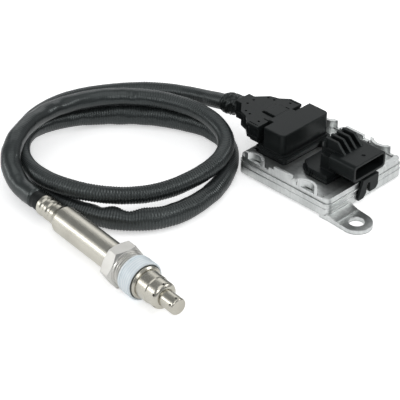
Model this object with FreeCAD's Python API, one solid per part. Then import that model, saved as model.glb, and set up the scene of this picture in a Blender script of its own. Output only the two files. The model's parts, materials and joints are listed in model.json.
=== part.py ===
import FreeCAD, Part
import math
import os

# Exhaust gas sensor: a cast control unit, a sleeved cable laid in two loose loops and a screw-in probe.
# Millimetres. The control unit lies flat on its mounting plane z = 0, centred on its two bolt holes.
# +X points to the vehicle connector's mouth, -X to the cable, +Z up.

os.makedirs("parts", exist_ok=True)
vec = FreeCAD.Vector

# Control unit case
case_length = 69.0
case_width = 64.5
case_corner = 4.2
case_wall = 2.8
case_floor = 2.0
underside_z = 1.7
parting_z = 9.6
wall_bead_z = 6.3
wall_bead_depth = 0.35
pad_radius = 4.5
pad_inset = 8.0

# Mounting ears, one at each of two opposite corners
ear_hole_x = 48.5
ear_hole_y = -24.05
ear_hole_radius = 4.5
ear_end_radius = 9.0
ear_thickness = 2.6
ear_root_y = -13.5
ear_ramp_height = 3.7
ear_ramp_flat = 0.9
ear_ramp_run = 6.5
ear_under_run = 6.0

# Lid
lid_inset = 0.8
lid_floor_z = 11.5
lid_ledge_z = 12.9
lid_ledge_width = 4.0
side_ledge_z = 12.2
side_ledge_width = 1.8
lip_depth = 1.6
lip_width = 1.4
lip_clearance = 0.15
pocket_centres_x = (-22.0, 18.0)
pocket_top_z = 16.6
pocket_radius = 8.8
pocket_wall = 1.9
pocket_reach = 4.3
tab_centre_x = -0.5
tab_half_width = 6.8
tab_top_z = 16.2
tab_thickness = 1.8
block_width = 3.8
block_top_z = 14.0
block_thickness = 2.4

# Seal between base and lid
seal_width = 1.2
seal_height = 0.8
seal_offset = 1.3

# Circuit board
board_clearance = 0.6
board_thickness = 1.6
board_z = 5.2
boss_radius = 2.6
boss_inset = 3.6
screw_radius = 1.2
screw_head_radius = 2.1
screw_head_height = 1.1
screw_length = 3.4

# Vehicle connector, mouth toward +X
vc_y = -0.5
vc_base_x = (0.0, 20.5)
vc_base_half_width = 17.5
vc_base_top_z = 16.2
vc_skirt_height = 1.6
vc_skirt_out = 0.7
vc_base_chamfer = (6.5, 4.5)
vc_insert_x = (3.5, 17.0)
vc_insert_half_width = 12.0
vc_body_x = (8.5, 20.0)
vc_body_half_width = 8.6
vc_shroud_x = (18.0, 36.4)
vc_shroud_half_width = 13.4
vc_shroud_z = (16.9, 27.3)
vc_slot_x = (8.6, 10.2)
vc_slot_width = 0.6
vc_slot_depth = 0.5
vc_shroud_corner = 2.4
vc_shroud_wall = 1.5
vc_shroud_depth = 14.5
vc_fin_count = 4
vc_fin_pitch = 4.7
vc_fin_thickness = 1.7
vc_fin_top_z = 33.2
vc_fin_x = (10.0, 18.6, 24.6)
vc_web_thickness = 1.5
vc_dimple_x = 31.5
vc_dimple_radius = 1.1
vc_dimple_depth = 0.5
vc_pin_count = 4
vc_pin_pitch = 5.0
vc_pin_width = 1.5
vc_pin_thickness = 0.8
vc_pin_tip_x = 31.0
vc_pin_down_x = 13.0
vc_key_width = 1.4
vc_key_height = 1.1
seat_gasket_thickness = 0.4
insert_clearance = 0.2

# Sensor port and its plug
port_y = -1.5
port_x = (-31.5, -8.0)
port_half_width = 20.0
port_top_z = 16.4
port_corner = 2.0
port_relief = 0.3
port_lip_height = 1.1
port_lip_step = 1.1
port_flange_height = 1.3
port_skirt_in = 0.6
port_rib_y = 12.0
port_rib_length = 6.4
port_rib_width = 1.3
port_insert_x = (-26.0, -14.0)
port_insert_half_width = port_half_width - 4.0
plug_x = (-25.6, -10.6)
plug_y = -0.9
plug_half_width = port_half_width - 0.6
plug_top_z = 29.3
plug_corner = 3.0
plug_edge = 0.5
plug_tongue_x = -29.3
plug_tongue_y = (-12.2, 6.0)
plug_boss_radius = 1.3
plug_boss_z = (20.0, 27.2)
sensor_pin_count = 8
sensor_pin_pitch = port_insert_half_width / 4.1
sensor_pin_size = 0.8
sensor_pin_x = -18.5
sensor_pin_top_z = 22.0

# Clamshell behind the plug, round the cable's wires
cable_y = -3.2
cable_z = 21.0
shell_split_z = 21.0
shell_z = (17.0, 28.3)
shell_wall = 1.3
shell_roof = 1.8
shell_waist = 0.9
shell_keel = 1.4
shell_keel_z = 19.0
shell_outline = ((-29.3, 18.6), (-37.6, 18.6), (-42.8, 14.2), (-48.4, 12.4), (-54.6, 5.5), (-59.0, 5.5))
neck_end_x = -63.4
neck_radius = 5.2
neck_wall = 1.2
slit_x = (-33.4, -29.3)
slit_width = 0.7
slit_depth = 1.2
arm_groove_y = 1.5
arm_groove_x = (-37.0, -30.6)
arm_groove_depth = 0.5
shell_hole_radius = 0.7
shell_hole_depth = 1.0
shell_holes = ((-52.1, -6.3), (-52.2, -1.0), (-46.9, -13.0), (-42.9, -14.0), (-33.4, -16.5), (-47.9, 6.9),
               (-43.7, 7.5), (-34.5, 11.4))
pad_x = (-39.5, -29.3)
pad_y = (-6.6, 4.6)
pad_ramp = 2.2
slot_width = 1.0
slot_depth = 1.2
core_count = 8
core_radius = 0.7
core_bundle_radius = 1.9
core_knee_x = -51.5
core_spread = 0.8
core_end_gap = 0.6

# Boot over the neck and the cable's end
boot_wall = 0.6
boot_grip = 4.1
boot_bend_gap = 1.0
boot_tail_length = 8.8
boot_droop = 13.0

# Clip over the case wall below the mouth
clip_y = (-4.8, 8.4)
clip_thickness = 1.5
clip_left_leg = ((-4.8, 14.0), (-1.2, 14.0), (-1.6, 5.4), (-3.9, 2.6), (-8.0, 2.6), (-8.4, 4.6), (-6.4, 9.6))
clip_right_leg = ((1.4, 14.0), (8.4, 14.0), (8.4, 6.8), (6.4, 4.6), (1.4, 4.6))
clip_apron_z = 11.2
clip_inner_reach = 4.6
clip_lift = 0.1
clip_stand_off = 0.1

# Cable
cable_diameter = 9.8
cable_lead = 10.0

# Probe, along its own axis from the rear face of its crimped collar (a) and out from it (r)
across_flats = 22.0
probe_angle = -5.5
probe_origin_x = -74.3
probe_origin_y = -142.7
grommet_rear_a = -8.0
grommet_radius = 5.3
grommet_rear_radius = 4.95
collar_length = 14.4
collar_radius = 6.0
crimp_radius = 5.35
crimp_starts = (2.2, 7.8)
crimp_length = 3.8
crimp_slope = 1.1
crimp_round = 0.6
shoulder_round = 1.6
sleeve_radius = 8.1
sleeve_wall = 0.7
sleeve_shoulder = 4.0
sleeve_front_a = 76.0
nut_rear_a = 67.1
nut_hex_length = 8.0
nut_clearance = 0.08
nut_collar_radius = 10.6
nut_collar_length = 1.4
thread_radius = 9.95
thread_pitch = 1.5
thread_depth = 0.9
thread_land = 0.2
nut_front_a = 89.0
nut_flange_gap = 0.3
cap_rear_a = 80.4
cap_radius = 11.0
cap_rear_lip = 1.6
cap_front_a = 90.1
flange_length = 2.6
flange_radius = 9.4
body_bore = 5.7
body_rear_a = 69.0
shield_seat_radius = 7.3
shield_seat_length = 3.4
outer_shield_radius = 7.95
outer_shield_front_radius = 7.6
outer_shield_step_a = 99.2
outer_shield_front_a = 107.3
shield_sheet = 0.5
shield_fit = 0.05
outer_shoulder = 2.6
inner_shield_radius = 4.75
inner_shield_front_a = 117.6
inner_shoulder = 1.0
gas_hole_radius = 0.65
side_hole_count = 6
side_hole_a = 105.4
inner_hole_a = 115.6
inner_hole_count = 6
element_width = 4.2
element_thickness = 1.3
element_rear_a = 31.0
element_front_a = 115.0
bush_gap = 0.05
rear_bush_a = (71.5, 78.0)
powder_a = (78.0, 85.5)
front_bush_a = (85.5, 93.5)
holder_a = (26.0, 44.0)
holder_radius = 6.4
spring_a = (30.0, 40.0)
spring_width = 1.0
spring_thickness = 0.5
spring_pitch = 1.6

probe_axis_z = across_flats / 2.0
well_past = case_length
flange_rear_a = nut_front_a + nut_flange_gap
flange_front_a = flange_rear_a + flange_length
board_top_z = board_z + board_thickness
cavity_corner = case_corner - case_wall
half_length = case_length / 2.0
half_width = case_width / 2.0


def box(x, y, z):
    """A block between two x, two y and two z."""
    return Part.makeBox(x[1] - x[0], y[1] - y[0], z[1] - z[0], vec(x[0], y[0], z[0]))


def around(centre, half):
    """The two ends of a span with this middle and half width."""
    return (centre - half, centre + half)


def rod_z(x, y, radius, z0, z1):
    """An upright cylinder."""
    return Part.makeCylinder(radius, z1 - z0, vec(x, y, z0))


def prism(points, z0, z1):
    """A straight-sided outline in plan, raised from z0 to z1."""
    ring = [vec(x, y, z0) for x, y in points]
    face = Part.Face(Part.makePolygon(ring + ring[:1]))
    return face.extrude(vec(0, 0, z1 - z0))


def side_prism(points, y0, y1):
    """An outline in the XZ plane, carried from y0 to y1."""
    ring = [vec(x, y0, z) for x, z in points]
    face = Part.Face(Part.makePolygon(ring + ring[:1]))
    return face.extrude(vec(0, y1 - y0, 0))


def slab(x, y, z, corner):
    """A plate with rounded upright corners."""
    body = box(x, y, z)
    upright = [edge for edge in body.Edges if abs(edge.tangentAt(edge.FirstParameter).z) > 0.99]
    return body.makeFillet(corner, upright)


def frame_ring(inset_out, inset_in, z, corner):
    """A ring that follows the case's outline, between two insets."""
    outer = slab((-half_length + inset_out, half_length - inset_out),
                 (-half_width + inset_out, half_width - inset_out), z, max(corner - inset_out, 0.6))
    inner = slab((-half_length + inset_in, half_length - inset_in),
                 (-half_width + inset_in, half_width - inset_in), z, max(corner - inset_in, 0.6))
    return outer.cut(inner)


def soften(body, radius, keep):
    """Rounds the edges that the test keeps."""
    edges = [edge for edge in body.Edges if keep(edge)]
    return body.makeFillet(radius, edges)


def level_edge(z):
    """A test for edges that lie wholly at this height."""
    return lambda edge: abs(edge.BoundBox.ZMin - z) < 1e-6 and abs(edge.BoundBox.ZMax - z) < 1e-6


def half_turn(shape):
    """The same shape at the opposite corner of the case."""
    turned = shape.copy()
    turned.rotate(vec(0, 0, 0), vec(0, 0, 1), 180)
    return turned


def revolve(outline):
    """A turned piece round the X axis, from (a, r) points or from a wire."""
    if isinstance(outline, list):
        ring = [vec(a, 0, r) for a, r in outline]
        outline = Part.makePolygon(ring + ring[:1])
    face = Part.Face(outline)
    body = face.revolve(vec(0, 0, 0), vec(1, 0, 0), 360)
    return Part.Solid(body.Shells[0]) if body.Volume > 0 else Part.Solid(body.Shells[0].reversed())


def rounded(corners):
    """The corners of an (a, r) outline, each with the radius that rounds it, as a closed wire."""
    edges = []
    here = None
    first = None
    for number, (a, r, radius) in enumerate(corners):
        corner = vec(a, 0, r)
        if radius:
            before = corners[number - 1]
            after = corners[(number + 1) % len(corners)]
            to_before = vec(before[0], 0, before[1]) - corner
            to_after = vec(after[0], 0, after[1]) - corner
            to_before.normalize()
            to_after.normalize()
            half_angle = to_before.getAngle(to_after) / 2.0
            reach = radius / math.tan(half_angle)
            start = corner + to_before * reach
            end = corner + to_after * reach
            inward = to_before + to_after
            inward.normalize()
            middle = corner + inward * (radius / math.sin(half_angle) - radius)
        else:
            start = corner
            end = corner
        if here is not None and (start - here).Length > 1e-6:
            edges.append(Part.makeLine(here, start))
        if radius:
            edges.append(Part.Arc(start, middle, end).toShape())
        if first is None:
            first = start
        here = end
    if (first - here).Length > 1e-6:
        edges.append(Part.makeLine(here, first))
    return Part.Wire(edges)


def rod_a(radius, a0, a1):
    """A cylinder along the probe's axis."""
    return Part.makeCylinder(radius, a1 - a0, vec(a0, 0, 0), vec(1, 0, 0))


def tube_a(outer, inner, a0, a1):
    """A pipe along the probe's axis."""
    return rod_a(outer, a0, a1).cut(rod_a(inner, a0, a1))


def place_probe(shape):
    """Lays a piece of the probe on its hexagon's flat beside the control unit."""
    placed = shape.copy()
    placed.rotate(vec(0, 0, 0), vec(0, 0, 1), probe_angle)
    placed.translate(vec(probe_origin_x, probe_origin_y, probe_axis_z))
    return placed


def tangent_points(start, centre, radius):
    """Where the two lines from a point touch a circle."""
    away = math.atan2(start[1] - centre[1], start[0] - centre[0])
    distance = math.hypot(start[0] - centre[0], start[1] - centre[1])
    turn = math.acos(radius / distance)
    return [(centre[0] + radius * math.cos(away + side * turn),
             centre[1] + radius * math.sin(away + side * turn)) for side in (-1, 1)]


# Control unit

def ear():
    """One mounting ear: a flat tongue with a bolt hole, a ramp up to the wall and a foot under the corner."""
    centre = (ear_hole_x, ear_hole_y)
    root_in = (half_length, ear_root_y)
    root_out = (half_length, -half_width)
    upper = max(tangent_points(root_in, centre, ear_end_radius), key=lambda point: point[1])
    lower = min(tangent_points(root_out, centre, ear_end_radius), key=lambda point: point[1])
    under_x = half_length - ear_under_run
    tip = vec(ear_hole_x + ear_end_radius, ear_hole_y, 0)
    sides = [
        Part.makeLine(vec(under_x, ear_root_y, 0), vec(root_in[0], root_in[1], 0)),
        Part.makeLine(vec(root_in[0], root_in[1], 0), vec(upper[0], upper[1], 0)),
        Part.Arc(vec(upper[0], upper[1], 0), tip, vec(lower[0], lower[1], 0)).toShape(),
        Part.makeLine(vec(lower[0], lower[1], 0), vec(root_out[0], root_out[1], 0)),
        Part.makeLine(vec(root_out[0], root_out[1], 0), vec(under_x, -half_width, 0)),
        Part.makeLine(vec(under_x, -half_width, 0), vec(under_x, ear_root_y, 0)),
    ]
    tongue = Part.Face(Part.Wire(sides)).extrude(vec(0, 0, ear_thickness))
    start_x = half_length - case_wall / 2.0
    ramp = side_prism([(start_x, underside_z), (start_x, ear_ramp_height),
                       (half_length + ear_ramp_flat, ear_ramp_height),
                       (half_length + ear_ramp_run, ear_thickness), (half_length + ear_ramp_run, underside_z)],
                      -half_width, ear_root_y)
    hull = Part.Face(Part.Wire(sides)).extrude(vec(0, 0, ear_ramp_height))
    hole = rod_z(ear_hole_x, ear_hole_y, ear_hole_radius, -1.0, ear_ramp_height + 1.0)
    return tongue.fuse(ramp.common(hull)).cut(hole)


def board_corners():
    """Where the board is screwed down."""
    reach_x = half_length - case_wall - boss_inset - board_clearance
    reach_y = half_width - case_wall - boss_inset - board_clearance
    return [(sx * reach_x, sy * reach_y) for sx in (-1, 1) for sy in (-1, 1)]


def housing_base():
    """The cast tray with its ears, foot pads, board bosses and seal groove."""
    tray = slab((-half_length, half_length), (-half_width, half_width), (underside_z, parting_z), case_corner)
    bead = frame_ring(0.0, wall_bead_depth, (wall_bead_z, parting_z - 1.0), case_corner)
    cavity = slab((-half_length + case_wall, half_length - case_wall),
                  (-half_width + case_wall, half_width - case_wall),
                  (underside_z + case_floor, parting_z + 1.0), cavity_corner)
    body = tray.cut(bead).cut(cavity)
    one_ear = ear()
    body = body.fuse(one_ear).fuse(half_turn(one_ear))
    for sx in (-1, 1):
        pad = rod_z(sx * (half_length - pad_inset), sx * (half_width - pad_inset), pad_radius, 0.0, underside_z)
        body = body.fuse(pad)
    for x, y in board_corners():
        body = body.fuse(rod_z(x, y, boss_radius, underside_z + case_floor, board_z))
        body = body.cut(rod_z(x, y, screw_radius, board_top_z - screw_length, board_z))
    groove = frame_ring(seal_offset, seal_offset + seal_width, (parting_z - seal_height, parting_z), case_corner)
    return body.cut(groove).removeSplitter()


def housing_seal():
    """The bead of sealant that closes the joint between base and lid."""
    return frame_ring(seal_offset, seal_offset + seal_width, (parting_z - seal_height, parting_z), case_corner)


def pocket(centre_x):
    """A half-round wall that stands on the lid's long edge and opens outward."""
    edge_y = -half_width + lid_inset
    centre_y = edge_y + pocket_reach - pocket_radius
    outer = rod_z(centre_x, centre_y, pocket_radius, parting_z, pocket_top_z)
    inner = rod_z(centre_x, centre_y, pocket_radius - pocket_wall, lid_floor_z, pocket_top_z + 1.0)
    lid_side = box(around(centre_x, 2 * pocket_radius), (edge_y, edge_y + 2 * pocket_radius),
                   (parting_z, pocket_top_z))
    return outer.common(lid_side).cut(inner)


def lid_openings():
    """The holes that the two mouldings pass through."""
    vehicle = box(vc_insert_x, around(vc_y, vc_insert_half_width), (parting_z - 1.0, lid_floor_z + 0.5))
    sensor = box(port_insert_x, around(port_y, port_insert_half_width), (parting_z - 1.0, lid_floor_z + 0.5))
    return [vehicle, sensor]


def housing_lid():
    """The cast lid: sunk floor, ledges, four half-round pockets, two tabs and the locating lip below."""
    plate = slab((-half_length + lid_inset, half_length - lid_inset),
                 (-half_width + lid_inset, half_width - lid_inset),
                 (parting_z, lid_ledge_z), case_corner - lid_inset)
    inner_x = half_length - lid_inset - lid_ledge_width
    inner_y = half_width - lid_inset - side_ledge_width
    plate = plate.cut(slab((-inner_x, inner_x), (-inner_y, inner_y), (lid_floor_z, lid_ledge_z + 1.0), 1.5))
    for side in (-1, 1):
        low = (side * half_width, side * inner_y)
        plate = plate.cut(box((-inner_x, inner_x), (min(low), max(low)), (side_ledge_z, lid_ledge_z + 1.0)))
    edge_y = half_width - lid_inset
    front = [pocket(x) for x in pocket_centres_x]
    front.append(box(around(tab_centre_x, tab_half_width), (-edge_y, -edge_y + tab_thickness),
                     (parting_z, tab_top_z)))
    for side in (-1, 1):
        middle = tab_centre_x + side * (tab_half_width + block_width / 2.0)
        front.append(box(around(middle, block_width / 2.0), (-edge_y, -edge_y + block_thickness),
                         (parting_z, block_top_z)))
    body = plate
    for piece in front:
        body = body.fuse(piece)
        body = body.fuse(piece.mirror(vec(0, 0, 0), vec(0, 1, 0)))
    lip_out = case_wall + lip_clearance
    lip = frame_ring(lip_out, lip_out + lip_width, (parting_z - lip_depth, parting_z), case_corner)
    body = body.fuse(lip)
    seat = box((port_x[0] - port_relief, port_x[1]), around(port_y, port_half_width + port_relief),
               (lid_floor_z, lid_ledge_z + 1.0))
    for opening in lid_openings() + [seat]:
        body = body.cut(opening)
    return body.removeSplitter()


def board_outline(z):
    """The board's outline, clear of the tray's walls."""
    gap = case_wall + board_clearance
    return slab((-half_length + gap, half_length - gap), (-half_width + gap, half_width - gap), z, 2.0)


def board_screws():
    """Four small screws through the board into the bosses."""
    screws = []
    for x, y in board_corners():
        shank = rod_z(x, y, screw_radius, board_top_z - screw_length, board_top_z)
        head = rod_z(x, y, screw_head_radius, board_top_z, board_top_z + screw_head_height)
        screws.append(shank.fuse(head))
    return Part.makeCompound(screws)


def circuit_board(terminals):
    """The board, drilled for its screws and for both rows of terminals."""
    board = board_outline((board_z, board_top_z))
    for x, y in board_corners():
        board = board.cut(rod_z(x, y, screw_radius, board_z - 1.0, board_top_z + 1.0))
    return board.cut(terminals)


def board_components():
    """The chips and the larger parts that fit under the lid, placed by their share of the board's half sizes."""
    reach_x = half_length - case_wall - board_clearance
    reach_y = half_width - case_wall - board_clearance
    chips = [
        ((-0.03, 0.19), (0.62, 0.21), 1.4),
        ((0.77, 0.11), (-0.55, 0.17), 1.6),
        ((0.77, 0.10), (0.14, 0.10), 1.1),
        ((-0.26, 0.10), (-0.76, 0.11), 1.1),
        ((-0.34, 0.07), (0.65, 0.10), 1.1),
        ((0.77, 0.11), (0.62, 0.12), 2.0),
    ]
    bodies = []
    for (x, half_x), (y, half_y), height in chips:
        bodies.append(box(around(x * reach_x, half_x * reach_x), around(y * reach_y, half_y * reach_y),
                          (board_top_z, board_top_z + height)))
    return Part.makeCompound(bodies)


# Vehicle connector

def vehicle_pin_rows():
    """The pins' places across the mouth."""
    first = vc_y - vc_pin_pitch * (vc_pin_count - 1) / 2.0
    return [first + vc_pin_pitch * number for number in range(vc_pin_count)]


def vehicle_terminals():
    """Bent blades from the mouth back and down to the board."""
    mid_z = sum(vc_shroud_z) / 2.0
    low_z = board_z - 0.6
    pins = []
    for y in vehicle_pin_rows():
        reach = around(y, vc_pin_width / 2.0)
        along = box((vc_pin_down_x, vc_pin_tip_x), reach, around(mid_z, vc_pin_thickness / 2.0))
        down = box((vc_pin_down_x, vc_pin_down_x + vc_pin_thickness), reach, (low_z, mid_z))
        pins.append(along.fuse(down).removeSplitter())
    return Part.makeCompound(pins)


def connector_fins():
    """Upright gussets from the tower's back web down to the shroud's roof."""
    web = box((vc_fin_x[0], vc_fin_x[0] + vc_web_thickness), around(vc_y, vc_body_half_width),
              (vc_shroud_z[1] - 1.0, vc_fin_top_z - 1.0))
    first = vc_y - vc_fin_pitch * (vc_fin_count - 1) / 2.0
    fins = web
    for number in range(vc_fin_count):
        middle = first + vc_fin_pitch * number
        outline = [(vc_fin_x[0], vc_shroud_z[1] - 1.0), (vc_fin_x[0], vc_fin_top_z), (vc_fin_x[1], vc_fin_top_z),
                   (vc_fin_x[2], vc_shroud_z[1]), (vc_fin_x[2], vc_shroud_z[1] - 1.0)]
        fins = fins.fuse(side_prism(outline, *around(middle, vc_fin_thickness / 2.0)))
    return fins


def shroud_outline(x, half, z, corner):
    """A rounded oblong that runs along X."""
    body = box(x, around(vc_y, half), z)
    along = [edge for edge in body.Edges if abs(edge.tangentAt(edge.FirstParameter).x) > 0.99]
    return body.makeFillet(corner, along)


def connector_base(out, z0, z1):
    """The header's base plate with two chamfered corners, grown outward all round."""
    left = vc_base_x[0] - out
    right = vc_base_x[1] + out
    low, high = around(vc_y, vc_base_half_width + out)
    cut_x, cut_y = vc_base_chamfer
    return prism([(left + cut_x, low), (right, low), (right, high), (left + cut_x, high), (left, high - cut_y),
                  (left, low + cut_y)], z0, z1)


def vehicle_connector(terminals):
    """The moulded header: insert through the lid, chamfered base, tower with fins and the open shroud."""
    seat_z = lid_floor_z + seat_gasket_thickness
    base = connector_base(0.0, seat_z, vc_base_top_z)
    base = base.fuse(connector_base(vc_skirt_out, seat_z, seat_z + vc_skirt_height))
    for x in vc_slot_x:
        for y in around(vc_y, vc_base_half_width + vc_skirt_out):
            slot = box(around(x, vc_slot_width / 2.0), around(y, vc_slot_depth + vc_skirt_out),
                       (seat_z - 1.0, vc_base_top_z - 1.0))
            base = base.cut(slot)
    insert = box((vc_insert_x[0] + insert_clearance, vc_insert_x[1] - insert_clearance),
                 around(vc_y, vc_insert_half_width - insert_clearance), (board_top_z, seat_z))
    tower = box(vc_body_x, around(vc_y, vc_body_half_width), (vc_base_top_z, vc_shroud_z[1]))
    shroud = shroud_outline(vc_shroud_x, vc_shroud_half_width, vc_shroud_z, vc_shroud_corner)
    foot = side_prism([(vc_body_x[1] - 4.0, vc_base_top_z), (vc_body_x[1] - 4.0, vc_shroud_z[0] + 2.0),
                       (vc_shroud_x[1] - 7.0, vc_shroud_z[0] + 1.0), (vc_base_x[1], vc_base_top_z)],
                      *around(vc_y, vc_shroud_half_width - vc_shroud_corner))
    cheeks = box((vc_body_x[0] + 2.5, vc_shroud_x[0] + 3.0), around(vc_y, vc_shroud_half_width - 1.0),
                 (vc_base_top_z, vc_shroud_z[1] - vc_shroud_corner))
    body = base.fuse(insert).fuse(tower).fuse(shroud).fuse(foot).fuse(cheeks).fuse(connector_fins())
    wall = vc_shroud_wall
    mouth = shroud_outline((vc_shroud_x[1] - vc_shroud_depth, vc_shroud_x[1] + 1.0), vc_shroud_half_width - wall,
                           (vc_shroud_z[0] + wall, vc_shroud_z[1] - wall), vc_shroud_corner - wall * 0.7)
    body = body.cut(mouth)
    for y in (vc_y - vc_shroud_half_width * 0.55, vc_y + vc_shroud_half_width * 0.3):
        key = box((vc_shroud_x[1] - vc_shroud_depth, vc_shroud_x[1] - 1.0), around(y, vc_key_width / 2.0),
                  (vc_shroud_z[1] - wall - vc_key_height, vc_shroud_z[1] - wall))
        body = body.fuse(key)
    body = body.cut(rod_z(vc_dimple_x, vc_y, vc_dimple_radius, vc_shroud_z[1] - vc_dimple_depth,
                          vc_shroud_z[1] + 1.0))
    return body.removeSplitter().cut(terminals)


def seat_gasket(x, half_y, centre_y, insert_x, insert_half):
    """A flat gasket between the lid and a moulding, open round the moulding's insert."""
    plate = box((x[0] + 1.0, x[1] - 1.0), around(centre_y, half_y), (lid_floor_z, lid_floor_z + seat_gasket_thickness))
    hole = box((insert_x[0] + insert_clearance, insert_x[1] - insert_clearance),
               around(centre_y, insert_half - insert_clearance),
               (lid_floor_z - 1.0, lid_floor_z + 1.0))
    return plate.cut(hole)


# Sensor port, plug and clamshell

def sensor_pin_rows():
    """The sensor terminals' places along the port."""
    first = port_y - sensor_pin_pitch * (sensor_pin_count - 1) / 2.0
    return [first + sensor_pin_pitch * number for number in range(sensor_pin_count)]


def sensor_terminals():
    """Straight square pins from the board up into the plug."""
    pins = []
    half = sensor_pin_size / 2.0
    for y in sensor_pin_rows():
        pins.append(box(around(sensor_pin_x, half), around(y, half), (board_z - 0.6, sensor_pin_top_z)))
    return Part.makeCompound(pins)


def sensor_port(terminals):
    """The moulded frame on the lid: skirt, flange, lip and a clamping rib at its far end."""
    seat_z = lid_floor_z + seat_gasket_thickness
    width = around(port_y, port_half_width)
    flange_z = port_top_z - port_lip_height - port_flange_height
    inset = port_skirt_in
    skirt = slab((port_x[0] + inset, port_x[1] - inset), (width[0] + inset, width[1] - inset),
                 (seat_z, flange_z), port_corner)
    flange = slab(port_x, width, (flange_z, flange_z + port_flange_height), port_corner)
    step = port_lip_step
    lip = slab((port_x[0] + step, port_x[1] - step), (width[0] + step, width[1] - step),
               (port_top_z - port_lip_height, port_top_z), port_corner)
    insert = box((port_insert_x[0] + insert_clearance, port_insert_x[1] - insert_clearance),
                 around(port_y, port_insert_half_width - insert_clearance), (board_top_z, seat_z))
    rib = box((port_x[1] - 2.0, port_x[1] + port_rib_width), around(port_rib_y, port_rib_length / 2.0),
              (seat_z, port_top_z - port_lip_height))
    body = skirt.fuse(flange).fuse(lip).fuse(insert).fuse(rib)
    return body.removeSplitter().cut(terminals)


def sensor_plug(terminals):
    """The plug's tall block with rounded corners, a tongue that runs back to the clamshell and a small boss."""
    z = (port_top_z, plug_top_z)
    block = box(plug_x, around(plug_y, plug_half_width), z)
    front = [edge for edge in block.Edges
             if abs(edge.tangentAt(edge.FirstParameter).z) > 0.99 and edge.BoundBox.XMin > plug_x[1] - 1e-6]
    block = block.makeFillet(plug_corner, front)
    rim = [edge for edge in block.Edges if level_edge(plug_top_z)(edge) and edge.BoundBox.XMax > plug_x[0] + 1.0]
    block = block.makeFillet(plug_edge, rim)
    tongue = box((plug_tongue_x, plug_x[0] + plug_edge), plug_tongue_y, z)
    boss = rod_z(plug_x[0] + 0.3, plug_y - plug_half_width + 3.0, plug_boss_radius, *plug_boss_z)
    return block.fuse(tongue).fuse(boss).removeSplitter().cut(terminals)


def shell_plan(inset, front):
    """The clamshell's outline in plan, drawn in by an inset, with its front edge at a set place."""
    half = [(x + (inset if number else 0.0), width - inset) for number, (x, width) in enumerate(shell_outline)]
    half[0] = (front, half[0][1])
    upper = [(x, cable_y + width) for x, width in half]
    lower = [(x, cable_y - width) for x, width in half]
    return upper + lower[::-1]


def shell_block(z, inset):
    """The clamshell's bulk between two heights."""
    return prism(shell_plan(inset, shell_outline[0][0]), z[0], z[1])


def neck(radius, beyond):
    """A round bar along the spout's axis, from past the spout's end into the shell."""
    start = neck_end_x - beyond
    reach = shell_outline[-1][0] + 1.0 + 2.0 * beyond - start
    return Part.makeCylinder(radius, reach, vec(start, cable_y, cable_z), vec(1, 0, 0))


def shell_cavity():
    """The room inside the clamshell for the wires, and the way through its spout."""
    inner = prism(shell_plan(shell_wall + shell_waist, shell_outline[0][0] - shell_wall), shell_z[0] + shell_wall,
                  shell_z[1] - shell_roof)
    return inner.fuse(neck(neck_radius - neck_wall, 1.0))


def shell_half(z):
    """All of the clamshell's room between two heights."""
    return box((neck_end_x - 1.0, 0.0), around(cable_y, well_past), z)


def shell_lower():
    """The lower half: flange at the split, narrower keel below it and the lower half of the spout."""
    keel = shell_block((shell_z[0], shell_keel_z), shell_keel)
    flange = shell_block((shell_keel_z, shell_split_z), 0.0)
    spout_z = (0.0, shell_split_z)
    body = keel.fuse(flange).fuse(neck(neck_radius, 0.0).common(shell_half(spout_z)))
    collar = box((shell_outline[-1][0], shell_outline[-2][0] + 3.0), around(cable_y, shell_outline[-1][1]),
                 (shell_z[0], shell_split_z))
    return body.fuse(collar).cut(shell_cavity()).removeSplitter()


def shell_upper():
    """The upper half: roof over a narrower waist, raised pad, slits beside two latch arms and blind holes."""
    roof_under_z = shell_z[1] - shell_roof
    waist = shell_block((shell_split_z, roof_under_z), shell_waist)
    roof = shell_block((roof_under_z, shell_z[1]), 0.0)
    body = waist.fuse(roof).fuse(neck(neck_radius, 0.0).common(shell_half((shell_split_z, well_past))))
    collar = box((shell_outline[-1][0], shell_outline[-2][0] + 3.0), around(cable_y, shell_outline[-1][1]),
                 (shell_split_z, roof_under_z))
    pad = side_prism([(pad_x[0], shell_z[1] - 0.5), (pad_x[0] + 0.3, plug_top_z - 0.4),
                      (pad_x[0] + pad_ramp, plug_top_z), (pad_x[1], plug_top_z), (pad_x[1], shell_z[1] - 0.5)],
                     *pad_y)
    body = body.fuse(collar).fuse(pad).cut(shell_cavity())
    low_z = shell_z[1] - slit_depth
    high_z = plug_top_z + 1.0
    for y in plug_tongue_y:
        body = body.cut(box(slit_x, around(y, slit_width / 2.0), (low_z, high_z)))
    body = body.cut(box(pad_x, (pad_y[0] - slot_width, pad_y[0]), (shell_z[1] - slot_depth, high_z)))
    for side in (-1, 1):
        y = cable_y + side * (shell_outline[0][1] - arm_groove_y)
        body = body.cut(box(arm_groove_x, around(y, 0.3), (shell_z[1] - arm_groove_depth, high_z)))
    for x, y in shell_holes:
        body = body.cut(rod_z(x, y, shell_hole_radius, shell_z[1] - shell_hole_depth, high_z))
    return body.removeSplitter()


def straight_wire(start, end):
    """One straight length of wire."""
    run = end - start
    return Part.makeCylinder(core_radius, run.Length, start, run)


def cable_cores():
    """The wires inside the clamshell: along the spout, then fanned out to the back of the plug."""
    cores = []
    plug_face = shell_outline[0][0] - shell_wall - core_end_gap
    for number, y in enumerate(sensor_pin_rows()):
        turn = 2 * math.pi * number / core_count
        start = vec(neck_end_x + 1.0, cable_y + core_bundle_radius * math.cos(turn),
                    cable_z + core_bundle_radius * math.sin(turn))
        knee = vec(core_knee_x, start.y, start.z)
        end = vec(plug_face, cable_y + (y - port_y) * core_spread, cable_z)
        joint = Part.makeSphere(core_radius, knee)
        cores.append(straight_wire(start, knee).fuse(joint).fuse(straight_wire(knee, end)))
    return Part.makeCompound(cores)


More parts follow.
